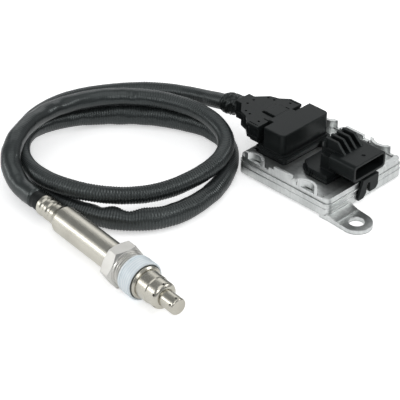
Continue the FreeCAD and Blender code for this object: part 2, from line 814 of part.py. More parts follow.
def boot_tail_end(beyond):
    """The centre of the boot's rear face, or the point this far behind it."""
    droop = math.radians(boot_droop)
    reach = boot_tail_length + beyond
    return vec(neck_end_x - boot_bend_gap - reach * math.cos(droop), cable_y, cable_z - reach * math.sin(droop))


def behind(x, tilt):
    """All that lies behind a tilted plane through the boot's bend."""
    block = box((x - well_past, x), (-well_past, well_past), (-well_past, well_past))
    block.rotate(vec(x, 0, 0), vec(0, 1, 0), -tilt)
    return block


def cable_boot():
    """The shrunk boot: a sleeve over the spout and a tail that droops with the cable, joined on a mitre."""
    grip = neck_radius
    thick = neck_radius + boot_wall
    tail = cable_diameter / 2.0
    front = neck_end_x + boot_grip
    bend = neck_end_x - boot_bend_gap
    rear = bend - boot_tail_length
    mitre = behind(bend, boot_droop / 2.0)
    sleeve = revolve(rounded([(bend - 1.5, 0.0, 0), (bend - 1.5, thick, 0), (front - 4.0, thick, 0),
                              (front - 2.2, thick + 0.5, 2.0), (front, thick, 0.3), (front, 0.0, 0)]))
    sleeve = sleeve.cut(rod_a(grip, neck_end_x, front + 1.0)).cut(mitre)
    drooping = revolve(rounded([(bend + 1.5, 0.0, 0), (bend + 1.5, thick, 0), (bend - 1.5, thick, 0),
                                (bend - 3.8, thick + 0.4, 3.0), (bend - 7.6, tail + boot_wall, 3.0),
                                (rear, tail + 0.2, 0), (rear, 0.0, 0)]))
    drooping.rotate(vec(bend, 0, 0), vec(0, 1, 0), -boot_droop)
    body = sleeve.fuse(drooping.common(mitre))
    body.translate(vec(0, cable_y, cable_z))
    return body


# Clip

def face_plate(outline, x0, x1):
    """A plate that stands across X, cut to an outline of (y, z) points."""
    ring = [vec(x0, y, z) for y, z in outline]
    face = Part.Face(Part.makePolygon(ring + ring[:1]))
    return face.extrude(vec(x1 - x0, 0, 0))


def wall_clip():
    """A moulded clip that hooks over the case's wall below the connector's mouth: a bar and two legs."""
    out_x = half_length + clip_stand_off
    top_z = lid_ledge_z + clip_lift
    bridge = box((out_x - clip_inner_reach, out_x + clip_thickness), clip_y, (top_z, top_z + clip_thickness))
    apron = box((out_x, out_x + clip_thickness), clip_y, (clip_apron_z, top_z + clip_thickness))
    body = bridge.fuse(apron)
    for outline in (clip_left_leg, clip_right_leg):
        body = body.fuse(face_plate(outline, out_x, out_x + clip_thickness))
    return body.removeSplitter()


# Cable

cable_points = [
    (-98.0, -4.0, 14.0), (-112.6, -6.2, 9.1), (-128.0, -12.2, 6.7),
    (-142.1, -23.2, 5.6), (-153.0, -38.9, 5.1), (-158.6, -57.1, 5.4), (-158.0, -76.2, 6.5),
    (-150.4, -93.7, 7.2), (-137.3, -107.5, 6.7), (-121.2, -117.0, 5.8), (-102.8, -123.6, 5.3),
    (-84.0, -128.5, 5.1), (-65.5, -128.6, 5.2), (-48.3, -122.6, 5.4), (-34.9, -109.6, 5.5),
    (-27.3, -92.6, 5.3), (-26.4, -73.5, 5.2), (-30.8, -54.9, 5.1), (-39.4, -37.8, 5.2),
    (-52.0, -24.2, 5.6), (-70.1, -18.6, 5.1), (-88.9, -21.5, 5.6), (-105.6, -30.7, 6.1),
    (-118.1, -45.1, 7.0), (-126.3, -62.1, 9.8), (-129.9, -80.5, 13.8), (-127.5, -99.2, 17.2),
    (-120.0, -115.2, 18.2), (-105.4, -125.6, 17.0), (-87.2, -126.8, 15.9), (-69.5, -119.8, 11.8),
    (-56.7, -106.2, 7.5), (-46.8, -90.2, 6.5), (-39.5, -72.7, 8.9), (-36.9, -54.4, 13.7),
    (-41.8, -36.6, 16.3), (-54.6, -23.6, 16.2), (-72.1, -15.6, 15.4), (-90.5, -12.9, 11.8),
    (-108.7, -17.9, 8.8), (-124.3, -28.5, 8.5), (-134.4, -44.4, 11.9), (-138.8, -62.6, 15.9),
    (-139.4, -81.5, 19.0), (-137.5, -100.5, 18.8), (-131.3, -118.1, 15.2), (-118.6, -131.4, 10.3),
    (-101.2, -139.2, 10.2),
]


def cable_end(before):
    """Where the cable meets the grommet's rear face, or the point this far before it."""
    turn = math.radians(probe_angle)
    a = grommet_rear_a - before
    return vec(probe_origin_x + a * math.cos(turn), probe_origin_y + a * math.sin(turn), probe_axis_z)


def cable():
    """The sleeved cable: straight runs between the points, joined by tangent arcs."""
    points = [boot_tail_end(0.0), boot_tail_end(cable_lead)]
    points += [vec(*point) for point in cable_points]
    points += [cable_end(cable_lead), cable_end(0.0)]
    pieces = []
    here = points[0]
    radii = []
    for before, corner, after in zip(points, points[1:], points[2:]):
        run_in = corner - before
        run_out = after - corner
        along_in = run_in / run_in.Length
        along_out = run_out / run_out.Length
        half_angle = along_in.getAngle(along_out) / 2.0
        reach = 0.45 * min(run_in.Length, run_out.Length)
        radii.append(reach / math.tan(half_angle))
        start = corner - along_in * reach
        end = corner + along_out * reach
        bisector = along_out - along_in
        depth = radii[-1] * (1.0 / math.cos(half_angle) - 1.0)
        middle = corner + bisector / bisector.Length * depth
        pieces.append(Part.LineSegment(here, start).toShape())
        pieces.append(Part.Arc(start, middle, end).toShape())
        here = end
    pieces.append(Part.LineSegment(here, points[-1]).toShape())
    path = Part.Wire(pieces)
    first = points[1] - points[0]
    ring = Part.Wire(Part.makeCircle(cable_diameter / 2.0, points[0], first))
    tube = path.makePipeShell([ring], True, False)
    section = math.pi * cable_diameter ** 2 / 4.0
    print("cable length", round(path.Length, 1), "smallest bend radius", round(min(radii), 1),
          "volume against section by length", round(tube.Volume / (section * path.Length), 4))
    return tube


# Probe

def probe_grommet():
    """The rubber plug in the collar's mouth, stepped down to the cable's size behind."""
    front = collar_length - 1.0
    inner = collar_radius - sleeve_wall
    return revolve([(grommet_rear_a, 0.0), (grommet_rear_a, grommet_rear_radius),
                    (-5.2, grommet_rear_radius + 0.2), (-4.6, grommet_radius), (-1.2, grommet_radius),
                    (-0.6, inner - 0.9), (3.0, inner - 0.9), (front, inner - 0.9), (front, 0.0)])


def sleeve_line(offset):
    """The sleeve's line from its rear edge to its front edge: two rolled crimps, shoulder and barrel."""
    wide = collar_radius - offset
    slim = crimp_radius - offset
    line = [(0.0, wide, 0)]
    for start in crimp_starts:
        line += [(start, wide, crimp_round), (start + crimp_slope, slim, crimp_round),
                 (start + crimp_length - crimp_slope, slim, crimp_round), (start + crimp_length, wide, crimp_round)]
    return line + [(collar_length, wide, crimp_round),
                   (collar_length + sleeve_shoulder, sleeve_radius - offset, shoulder_round),
                   (sleeve_front_a, sleeve_radius - offset, 0)]


def probe_sleeve():
    """The drawn steel sleeve: crimped collar, sloping shoulder and long barrel."""
    return revolve(rounded(sleeve_line(0.0) + sleeve_line(sleeve_wall)[::-1]))


def thread_line(start, end):
    """The thread's line from its rear to its front, as rings one pitch apart that end in a chamfer."""
    line = [(start, thread_radius)]
    for number in range(int((end - start) / thread_pitch) - 1):
        ring_a = start + thread_pitch * (number + 0.5)
        line += [(ring_a + thread_land, thread_radius), (ring_a + thread_pitch / 2.0, thread_radius - thread_depth),
                 (ring_a + thread_pitch - thread_land, thread_radius)]
    return line + [(end - thread_depth, thread_radius), (end, thread_radius - thread_depth)]


def gland_nut():
    """The loose gland nut: chamfered hexagon, short round collar and the threaded shank."""
    hex_radius = across_flats / math.sqrt(3.0)
    corners = [vec(nut_rear_a, hex_radius * math.cos(math.radians(60 * n)), hex_radius * math.sin(math.radians(60 * n)))
               for n in range(6)]
    head = Part.Face(Part.makePolygon(corners + corners[:1])).extrude(vec(nut_hex_length, 0, 0))
    front = nut_rear_a + nut_hex_length
    chamfer = hex_radius - across_flats / 2.0 + 0.3
    turned = revolve([(nut_rear_a, 0.0), (nut_rear_a, hex_radius - chamfer),
                      (nut_rear_a + chamfer * 0.6, hex_radius + 0.05), (front - chamfer * 0.6, hex_radius + 0.05),
                      (front, hex_radius - chamfer), (front, 0.0)])
    head = head.common(turned)
    thread_start = front + nut_collar_length
    shank = revolve([(front, 0.0), (front, nut_collar_radius), (thread_start, nut_collar_radius)]
                    + thread_line(thread_start, nut_front_a) + [(nut_front_a, 0.0)])
    bore = rod_a(sleeve_radius + nut_clearance, nut_rear_a - 1.0, nut_front_a + 1.0)
    return head.fuse(shank).cut(bore).removeSplitter()


def thread_cap():
    """The soft plastic ring that guards the thread, with a rim at the rear and rounded edges."""
    rear = cap_rear_a
    return revolve(rounded([(rear, thread_radius, 0), (rear, cap_radius - 0.2, 0.5),
                            (rear + cap_rear_lip, cap_radius - 0.2, 0.3), (rear + cap_rear_lip, cap_radius - 0.5, 0),
                            (rear + cap_rear_lip + 0.4, cap_radius - 0.5, 0), (rear + cap_rear_lip + 0.8, cap_radius, 0.4),
                            (cap_front_a, cap_radius, 0.8), (cap_front_a, thread_radius, 0)]))


def probe_body():
    """The turned steel body: rear spigot in the sleeve, sealing flange and the shields' seat."""
    spigot = sleeve_radius - sleeve_wall
    seat = flange_front_a + shield_seat_length
    return revolve([(body_rear_a, body_bore), (body_rear_a, spigot), (sleeve_front_a, spigot),
                    (sleeve_front_a, sleeve_radius), (flange_rear_a - 0.2, sleeve_radius),
                    (flange_rear_a, sleeve_radius + 0.3), (flange_rear_a + 0.2, flange_radius - 0.4),
                    (flange_rear_a + 0.7, flange_radius), (flange_front_a - 1.0, flange_radius),
                    (flange_front_a, flange_radius - 0.9), (flange_front_a, shield_seat_radius),
                    (seat, shield_seat_radius), (seat, body_bore - 1.5), (front_bush_a[1], body_bore - 1.5),
                    (front_bush_a[1], body_bore)])


def radial_holes(count, radius, a, reach):
    """Drills straight out from the axis, spread evenly round it."""
    drills = []
    for number in range(count):
        angle = 2 * math.pi * (number + 0.5) / count
        drills.append(Part.makeCylinder(radius, reach, vec(a, 0, 0), vec(0, math.cos(angle), math.sin(angle))))
    return drills


def outer_shield():
    """The outer gas shield: a stepped steel cup with a rounded front and rows of gas holes."""
    sheet = shield_sheet
    front = outer_shield_front_a
    wide = outer_shield_radius
    slim = outer_shield_front_radius
    step = outer_shield_step_a
    hole = inner_shield_radius + shield_fit
    body = revolve(rounded([(flange_front_a, wide, 0), (step, wide, 0.4), (step + 0.7, slim, 0.4),
                            (front, slim, outer_shoulder), (front, hole, 0), (front - sheet, hole, 0),
                            (front - sheet, slim - sheet, outer_shoulder - sheet), (step + 0.4, slim - sheet, 0),
                            (step, shield_seat_radius, 0), (flange_front_a, shield_seat_radius, 0)]))
    for drill in radial_holes(side_hole_count, gas_hole_radius, side_hole_a, wide + 1.0):
        body = body.cut(drill)
    return body


def inner_shield():
    """The inner gas shield: a slim cup with a closed end, held in the body's seat by a flare."""
    sheet = shield_sheet
    front = inner_shield_front_a
    small = inner_shield_radius
    seat = flange_front_a + shield_seat_length
    body = revolve(rounded([(seat, small - sheet, 0), (seat, shield_seat_radius - 0.6, 0),
                            (seat + sheet, shield_seat_radius - 0.6, 0), (seat + sheet, small, 0),
                            (front, small, inner_shoulder), (front, 0.0, 0), (front - sheet, 0.0, 0),
                            (front - sheet, small - sheet, inner_shoulder - sheet)]))
    for drill in radial_holes(inner_hole_count, gas_hole_radius, inner_hole_a, small + 1.0):
        body = body.cut(drill)
    return body


def element_box(extra, a):
    """The flat ceramic strip, or the slot that it passes through."""
    half_w = element_width / 2.0 + extra
    half_t = element_thickness / 2.0 + extra
    return box(a, (-half_w, half_w), (-half_t, half_t))


def bush(a, outer):
    """A ring with a flat slot for the ceramic strip."""
    return rod_a(outer, a[0], a[1]).cut(element_box(bush_gap, (a[0] - 1.0, a[1] + 1.0)))


def contact_springs():
    """Eight small leaf contacts, four on each face of the strip."""
    springs = []
    for side in (-1, 1):
        for number in range(4):
            y = spring_pitch * (number - 1.5) * 0.75
            near = side * element_thickness / 2.0
            far = side * (element_thickness / 2.0 + spring_thickness)
            springs.append(box(spring_a, around(y, spring_width / 2.0), (min(near, far), max(near, far))))
    return Part.makeCompound(springs)


def contact_holder():
    """The ceramic block that presses the contacts on the strip."""
    body = rod_a(holder_radius, holder_a[0], holder_a[1])
    room = box((spring_a[0], spring_a[1]), around(0.0, element_width / 2.0 + 0.4),
               around(0.0, element_thickness / 2.0 + spring_thickness))
    slot = element_box(bush_gap, (element_rear_a, holder_a[1] + 1.0))
    return body.cut(room).cut(slot)


def lead_wires():
    """The leads from the grommet to the contact holder, as a ring of straight wires."""
    wires = []
    for number in range(core_count):
        angle = 2 * math.pi * number / core_count
        centre = vec(collar_length - 1.0, core_bundle_radius * math.cos(angle), core_bundle_radius * math.sin(angle))
        wires.append(Part.makeCylinder(core_radius, holder_a[0] - collar_length + 1.0, centre, vec(1, 0, 0)))
    return Part.makeCompound(wires)


def holder_ring():
    """The steel ring that centres the contact holder in the sleeve."""
    return tube_a(sleeve_radius - sleeve_wall, holder_radius, holder_a[0] + 2.0, holder_a[1] - 4.0)


# Every piece under its own name

vehicle_blades = vehicle_terminals()
sensor_pins = sensor_terminals()
all_pins = Part.makeCompound([vehicle_blades, sensor_pins])

nodes = {
    "housing_base": housing_base(),
    "housing_lid": housing_lid(),
    "housing_seal": housing_seal(),
    "circuit_board": circuit_board(all_pins),
    "board_components": board_components(),
    "board_screws": board_screws(),
    "vehicle_connector": vehicle_connector(vehicle_blades),
    "vehicle_terminals": vehicle_blades,
    "vehicle_gasket": seat_gasket(vc_base_x, vc_base_half_width - vc_base_chamfer[1], vc_y, vc_insert_x,
                                  vc_insert_half_width),
    "sensor_port": sensor_port(sensor_pins),
    "port_gasket": seat_gasket(port_x, port_half_width - 1.0, port_y, port_insert_x, port_insert_half_width),
    "sensor_plug": sensor_plug(sensor_pins),
    "sensor_terminals": sensor_pins,
    "clamshell_lower": shell_lower(),
    "clamshell_upper": shell_upper(),
    "wire_ends": cable_cores(),
    "cable_boot": cable_boot(),
    "wall_clip": wall_clip(),
    "cable": cable(),
    "probe_grommet": place_probe(probe_grommet()),
    "probe_sleeve": place_probe(probe_sleeve()),
    "gland_nut": place_probe(gland_nut()),
    "thread_cap": place_probe(thread_cap()),
    "probe_body": place_probe(probe_body()),
    "outer_shield": place_probe(outer_shield()),
    "inner_shield": place_probe(inner_shield()),
    "ceramic_element": place_probe(element_box(0.0, (element_rear_a, element_front_a))),
    "rear_bush": place_probe(bush(rear_bush_a, body_bore)),
    "powder_ring": place_probe(bush(powder_a, body_bore)),
    "front_bush": place_probe(bush(front_bush_a, body_bore)),
    "contact_holder": place_probe(contact_holder()),
    "contact_springs": place_probe(contact_springs()),
    "holder_ring": place_probe(holder_ring()),
    "lead_wires": place_probe(lead_wires()),
}

for name, shape in nodes.items():
    shape.exportStep("parts/" + name + ".step")
    print(name, "solids", len(shape.Solids), "volume", round(shape.Volume, 1), "valid", shape.isValid())
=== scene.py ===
# %% [markdown]
# # An exhaust gas sensor, dressed for its picture
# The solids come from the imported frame: a cast control unit, a sleeved cable and a screw-in probe.
# They already have their true size and place, so this lesson is about surfaces, light and the small forms
# that solids leave plain: the ribbed sleeve of the cable and the folds of its shrunk boot.

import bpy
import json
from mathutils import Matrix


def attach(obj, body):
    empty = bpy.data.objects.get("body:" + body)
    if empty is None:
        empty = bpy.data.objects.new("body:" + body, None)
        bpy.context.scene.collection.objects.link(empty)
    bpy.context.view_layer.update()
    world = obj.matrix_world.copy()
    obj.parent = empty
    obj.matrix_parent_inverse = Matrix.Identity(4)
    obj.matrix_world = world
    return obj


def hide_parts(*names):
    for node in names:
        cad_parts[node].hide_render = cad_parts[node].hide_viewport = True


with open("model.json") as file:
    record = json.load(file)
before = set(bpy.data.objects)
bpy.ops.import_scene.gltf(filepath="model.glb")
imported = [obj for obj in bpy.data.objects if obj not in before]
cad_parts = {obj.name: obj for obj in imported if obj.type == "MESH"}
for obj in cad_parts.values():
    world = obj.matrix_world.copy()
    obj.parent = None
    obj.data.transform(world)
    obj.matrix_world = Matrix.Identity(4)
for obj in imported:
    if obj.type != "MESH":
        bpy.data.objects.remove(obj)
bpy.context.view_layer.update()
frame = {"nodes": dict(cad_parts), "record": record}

# %% Tools of the lesson
import json
import math

import bpy
import numpy as np
from mathutils import Vector, noise

scene = bpy.context.scene
MM = 0.001
print("Blender", bpy.app.version_string)

# %% [markdown]
# ## The camera
# The picture was taken from above the front corner of the control unit, with a long lens.
# The place below was found by matching the case's corners, the bolt hole and the hexagon to the photograph.

# %% Camera
camera_data = bpy.data.cameras.new("camera")
camera_data.lens = 144.0
camera_data.sensor_width = 36.0
camera_data.clip_start = 0.05
camera_data.clip_end = 20.0
camera = bpy.data.objects.new("camera", camera_data)
scene.collection.objects.link(camera)
camera.location = Vector((500.1, -591.6, 502.7)) * MM
aim = Vector((-29.7, -67.4, 0.0)) * MM
camera.rotation_euler = (aim - camera.location).to_track_quat("-Z", "Y").to_euler()
scene.camera = camera
print("camera", [round(value, 3) for value in camera.location])

# %% [markdown]
# ## Arithmetic on sockets
# A procedural material is a sum of masks, noises and ramps, and so is the push that raises the boot's folds.
# Wrapping a socket in a small class lets such a sum be written as ordinary Python: each operator adds the
# Math node that does it. Wiring adds nodes to a tree, Growth is such a tree for shapes and Paint one for looks.


# %% Sockets that add, multiply and compare
class Value:
    """An output socket that takes part in Python arithmetic."""

    def __init__(self, wiring, socket):
        self.wiring = wiring
        self.socket = socket

    def maths(self, operation, *others):
        """The result of a Math node, with this socket as its first input."""
        return self.wiring.node("ShaderNodeMath", {"operation": operation}, self, *others)

    def __add__(self, other):
        return self.maths("ADD", other)

    def __sub__(self, other):
        return self.maths("SUBTRACT", other)

    def __mul__(self, other):
        return self.maths("MULTIPLY", other)

    def __truediv__(self, other):
        return self.maths("DIVIDE", other)

    def __pow__(self, other):
        return self.maths("POWER", other)

    def __rsub__(self, other):
        return self.wiring.node("ShaderNodeMath", {"operation": "SUBTRACT"}, other, self)

    __radd__ = __add__
    __rmul__ = __mul__

    def clamp(self):
        """The same value, held between 0 and 1."""
        return self.wiring.node("ShaderNodeMath", {"operation": "ADD", "use_clamp": True}, self, 0.0)

    def part(self, name):
        """Another output of the same node."""
        return Value(self.wiring, self.socket.node.outputs[name])

    def ramp(self, low, high):
        """0 below low, 1 above high and a smooth step between."""
        return self.wiring.node("ShaderNodeMapRange", {"interpolation_type": "SMOOTHSTEP"},
                                self, low, high, 0.0, 1.0)


class Wiring:
    """A node tree under construction."""

    def node(self, kind, settings, *inputs, **named):
        """A node of a kind, its settings first and then the values or links of its sockets."""
        made = self.tree.nodes.new(kind)
        for key, value in settings.items():
            setattr(made, key, value)
        pairs = list(zip(made.inputs, inputs)) + [(made.inputs[key.replace("_", " ")], value)
                                                  for key, value in named.items()]
        for socket, value in pairs:
            if isinstance(value, Value):
                self.tree.links.new(value.socket, socket)
            elif value is not None:
                socket.default_value = value
        return Value(self, made.outputs[0])


class Growth(Wiring):
    """A Geometry Nodes tree with named inputs, and a last step that sets the material."""

    def __init__(self, name, sizes):
        self.tree = bpy.data.node_groups.new(name, "GeometryNodeTree")
        self.tree.interface.new_socket("Geometry", in_out="OUTPUT", socket_type="NodeSocketGeometry")
        self.tree.interface.new_socket("Geometry", in_out="INPUT", socket_type="NodeSocketGeometry")
        for size in sizes:
            self.tree.interface.new_socket(size, in_out="INPUT", socket_type="NodeSocketFloat")
        self.tree.interface.new_socket("Material", in_out="INPUT", socket_type="NodeSocketMaterial")
        self.given = self.node("NodeGroupInput", {})

    def attribute(self, name):
        """A number that the mesh carries at each point."""
        return self.node("GeometryNodeInputNamedAttribute", {"data_type": "FLOAT"}, name)

    def close(self, geometry):
        """Make the geometry real, set its material and hand it out."""
        whole = self.node("GeometryNodeRealizeInstances", {}, geometry)
        dressed = self.node("GeometryNodeSetMaterial", {}, Geometry=whole, Material=self.given.part("Material"))
        output = self.tree.nodes.new("NodeGroupOutput")
        self.tree.links.new(dressed.socket, output.inputs[0])

    def grow(self, form, values):
        """Run the tree on an object and keep the result as its plain mesh."""
        modifier = form.modifiers.new(self.tree.name, "NODES")
        modifier.node_group = self.tree
        for item in self.tree.interface.items_tree:
            if item.in_out == "INPUT" and item.name in values:
                modifier[item.identifier] = values[item.name]
        depsgraph = bpy.context.evaluated_depsgraph_get()
        grown = bpy.data.meshes.new_from_object(form.evaluated_get(depsgraph), depsgraph=depsgraph)
        form.modifiers.clear()
        form.data = grown
        grown.name = form.name


class Paint(Wiring):
    """One material under construction."""

    def __init__(self, name):
        self.material = bpy.data.materials.new(name)
        self.material.use_nodes = True
        self.tree = self.material.node_tree
        self.tree.nodes.clear()
        self.output = self.tree.nodes.new("ShaderNodeOutputMaterial")
        self.place = self.node("ShaderNodeTexCoord", {}).part("Object")

    def scaled(self, x, y, z):
        """The object's own coordinates, in metres, times a scale for each axis."""
        return self.node("ShaderNodeVectorMath", {"operation": "MULTIPLY"}, self.place, (x, y, z))

    def noise(self, scale, detail=3.0, rough=0.55, vector=None):
        """Smooth noise, about 0.5 with small swings."""
        return self.node("ShaderNodeTexNoise", {}, Vector=vector or self.place, Scale=scale, Detail=detail,
                         Roughness=rough)

    def mix(self, mask, first, second):
        """A colour between two others."""
        made = self.tree.nodes.new("ShaderNodeMix")
        made.data_type = "RGBA"
        for index, value in ((0, mask), (6, first), (7, second)):
            if isinstance(value, Value):
                self.tree.links.new(value.socket, made.inputs[index])
            elif index == 0:
                made.inputs[index].default_value = value
            else:
                made.inputs[index].default_value = tuple(value) + (1.0,)
        return Value(self, made.outputs[2])

    def soft_edges(self, radius):
        """A normal that is bent over each edge, as if the edge were rounded to this radius in metres."""
        return self.node("ShaderNodeBevel", {"samples": 6}, radius)

    def bump(self, height, distance, strength=1.0, normal=None):
        """A normal that leans as if the surface rose and sank by this height times this distance in metres."""
        return self.node("ShaderNodeBump", {}, Height=height, Distance=distance, Strength=strength, Normal=normal)

    def finish(self, fixed, **varying):
        """The surface shader: constants on its own sockets, and links for what varies."""
        shader = self.tree.nodes.new("ShaderNodeBsdfPrincipled")
        for key, value in fixed.items():
            shader.inputs[key].default_value = value
        for key, value in varying.items():
            self.tree.links.new(value.socket, shader.inputs[key.replace("_", " ")])
        self.tree.links.new(shader.outputs[0], self.output.inputs["Surface"])
        return self.material


# %% [markdown]
# ## The cable's route
# The real cable is one length of sleeved wires with a spring of its own. It leaves the boot, runs down to the
# table, turns round twice in loops that do not quite match, passes over itself on low humps and ends in the
# probe. The route is a row of points read one by one, and one smooth spline goes along them.

# %% Route of the cable
# Places and sizes are in millimetres, angles in radians.
BOOT_AHEAD = 5.1
BOOT_BEHIND = 8.8
droop = math.radians(13.0)
probe_turn = math.radians(-5.5)
boot_bend = Vector((-64.4, -3.2, 21.0))
probe_origin = Vector((-74.3, -142.7, 11.0))
probe_axis = Vector((math.cos(probe_turn), math.sin(probe_turn), 0.0))


def boot_tail_end(beyond):
    """The centre of the boot's rear face, or the point this far behind it, in millimetres."""
    return boot_bend + Vector((-math.cos(droop), 0.0, -math.sin(droop))) * (BOOT_BEHIND + beyond)


def station(distance):
    """The point of the probe's axis at this distance from its collar's rear face, in millimetres."""
    return probe_origin + probe_axis * distance


route = [boot_tail_end(0.0), boot_tail_end(10.0)]
route += [Vector(point) for point in (
    (-92.3, -1.2, 13.4), (-108.4, -3.4, 11.2), (-126.7, -11.0, 9.0),
    (-143.4, -23.5, 6.8), (-155.9, -39.7, 5.5), (-162.2, -57.7, 5.0),
    (-161.3, -75.4, 4.9), (-154.0, -91.6, 5.0), (-142.0, -105.7, 5.0),
    (-126.3, -116.9, 4.9), (-107.8, -124.9, 5.2), (-87.7, -129.1, 5.6),
    (-67.4, -128.8, 6.0), (-48.6, -123.6, 6.4), (-33.4, -113.4, 6.5),
    (-23.9, -98.6, 6.4), (-21.3, -79.7, 6.1), (-25.2, -59.0, 5.6),
    (-34.3, -39.5, 5.3), (-47.2, -24.6, 5.5), (-62.6, -16.7, 6.0),
    (-79.9, -16.8, 6.5), (-97.9, -23.8, 6.6), (-114.9, -35.3, 6.7),
    (-129.2, -50.0, 6.8), (-138.4, -67.4, 7.9), (-140.5, -86.7, 10.3),
    (-135.1, -105.1, 13.3), (-123.0, -119.0, 14.3), (-106.9, -127.7, 14.8),
    (-88.6, -130.8, 16.1), (-70.7, -128.1, 16.9), (-55.7, -120.0, 16.2),
    (-44.7, -107.9, 14.5), (-37.3, -92.6, 13.1), (-32.9, -73.3, 13.2),
    (-32.8, -51.3, 14.7), (-41.1, -33.1, 15.9), (-58.0, -22.8, 17.1),
    (-77.3, -20.0, 17.8), (-95.8, -23.9, 18.3), (-112.6, -33.4, 18.6),
    (-126.4, -47.1, 18.9), (-135.0, -64.7, 19.6), (-136.3, -85.6, 21.6),
    (-130.5, -107.4, 23.9), (-121.0, -125.9, 23.9), (-110.8, -137.0, 19.0),
    (-100.7, -140.6, 13.2))]
route += [station(-18.0), station(-8.0)]

route_curve = bpy.data.curves.new("cable_route", "CURVE")
route_curve.dimensions = "3D"
spline = route_curve.splines.new("NURBS")
spline.points.add(len(route) - 1)
for point, place in zip(spline.points, route):
    point.co = (place.x * MM, place.y * MM, place.z * MM, 1.0)
spline.order_u = 3
spline.use_endpoint_u = True
spline.resolution_u = 12
route_object = bpy.data.objects.new("cable_route", route_curve)
scene.collection.objects.link(route_object)
line_mesh = bpy.data.meshes.new_from_object(route_object)
line = np.array([vertex.co[:] for vertex in line_mesh.vertices])
bpy.data.objects.remove(route_object)
walked = np.concatenate([[0.0], np.cumsum(np.linalg.norm(np.diff(line, axis=0), axis=1))])
cable_length = float(walked[-1])
print("cable line", len(line), "points,", round(cable_length * 1000, 1), "mm")

# %% [markdown]
# ## The sleeve
# Under the cable's outer skin lies a corrugated hose, and its ribs show through as fine rings, clearly in some
# stretches and hardly at all in others. The skin has slack too: where it gathers, the cable is half as thick
# again and takes broad dents. A mesh tube is swept along the spline, and its radius is the sum of those effects.

# %% Frames along a line


def frames(points_along):
    """Unit vectors to the side of a line and above it, at each of its points."""
    tangent = np.gradient(points_along, axis=0)
    half_window = 4
    window = np.ones(2 * half_window + 1) / (2 * half_window + 1)
    tangent = np.stack([np.convolve(np.pad(tangent[:, axis], half_window, mode="edge"), window, mode="valid")
                        for axis in range(3)], axis=1)
    tangent /= np.linalg.norm(tangent, axis=1)[:, None]
    side = np.cross(np.array([0.0, 0.0, 1.0]), tangent)
    side /= np.linalg.norm(side, axis=1)[:, None]
    return side, np.cross(tangent, side)


def swept(centre, radius, around):
    """The points of a tube: one row for each station, one column for each angle round it."""
    side, top = frames(centre)
    return centre[:, None, :] + radius[:, :, None] * (np.cos(around)[:, :, None] * side[:, None, :]
                                                      + np.sin(around)[:, :, None] * top[:, None, :])


def ripple(arc, around, along_scale, round_scale, shift):
    """Smooth irregular noise over a tube, about -1 to 1, the same on every run."""
    values = [[noise.noise(Vector((s / along_scale + shift, math.cos(a) * round_scale, math.sin(a) * round_scale)))
               for a in around] for s in arc]
    return np.array(values)


# %% Stations of the sleeve
RIB_PITCH = 1.6
RINGS_PER_RIB = 4.6
SIDES = 28
ring_count = int(cable_length / MM / RIB_PITCH * RINGS_PER_RIB) + 1
along = np.linspace(0.0, cable_length, ring_count)
centre = np.stack([np.interp(along, walked, line[:, axis]) for axis in range(3)], axis=1)
turn = np.linspace(0.0, 2 * math.pi, SIDES, endpoint=False)
arc_mm = along / MM
around = np.broadcast_to(turn, (ring_count, SIDES))
print("rings", ring_count)

# %% Radius of the sleeve
# Millimetres along the cable, and the sleeve's radius there.
GIRTH = ((0, 5.0), (35, 4.6), (58, 4.8), (195, 4.8), (219, 5.0), (243, 5.6), (267, 6.2), (310, 6.2), (333, 5.7),
         (359, 5.3), (383, 5.2), (404, 5.5), (425, 6.4), (473, 6.5), (497, 5.9), (520, 4.9), (542, 4.3), (564, 4.3),
         (586, 4.9), (628, 5.0), (660, 5.2), (695, 5.0), (765, 5.1), (811, 5.4), (886, 5.3), (908, 5.8), (960, 6.0))
# Millimetres along the cable, and how far the ribs show there.
RIB_SHOW = ((0, 0.2), (20, 0.7), (60, 0.8), (100, 0.6), (200, 0.35), (240, 0.6), (260, 1.0), (320, 0.9), (345, 0.35),
            (390, 0.4), (410, 1.0), (490, 1.0), (520, 0.5), (590, 0.6), (610, 1.0), (680, 1.0), (700, 0.7),
            (760, 0.9), (792, 0.9), (806, 0.2), (960, 0.05))
# Each dent's place along the cable, half its length and its depth. A depth below zero is a bulge.
DENTS = ((255, 8.0, 1.2), (267.5, 3.5, 1.3), (275.5, 3.5, -0.3), (284.0, 4.5, 1.3), (292, 4.0, -0.4), (804, 2.6, 1.0),
         (818, 5.0, 0.5), (851, 4.0, 0.7), (864, 5.0, 0.4), (52, 6.0, 0.5), (36, 3.0, 0.5))
RIB_HEIGHT = 0.27
DENT_ANGLE = 1.0
END_RADIUS = 4.7
TABLE_GAP = 0.05
girth = np.interp(arc_mm, *zip(*GIRTH))[:, None]
loose = np.clip(girth - 5.0, 0.0, 1.0)
slow = ripple(arc_mm, turn, 26.0, 0.5, 3.0)
fold = ripple(arc_mm, turn, 8.0, 0.9, 40.0)
fine = ripple(arc_mm, turn, 2.6, 2.2, 90.0)
show = np.interp(arc_mm, *zip(*RIB_SHOW))[:, None] * np.clip(0.9 + 0.9 * slow, 0.3, 1.1)
wave = np.cos(2 * math.pi * arc_mm / RIB_PITCH)[:, None]
ribs = RIB_HEIGHT * show * wave
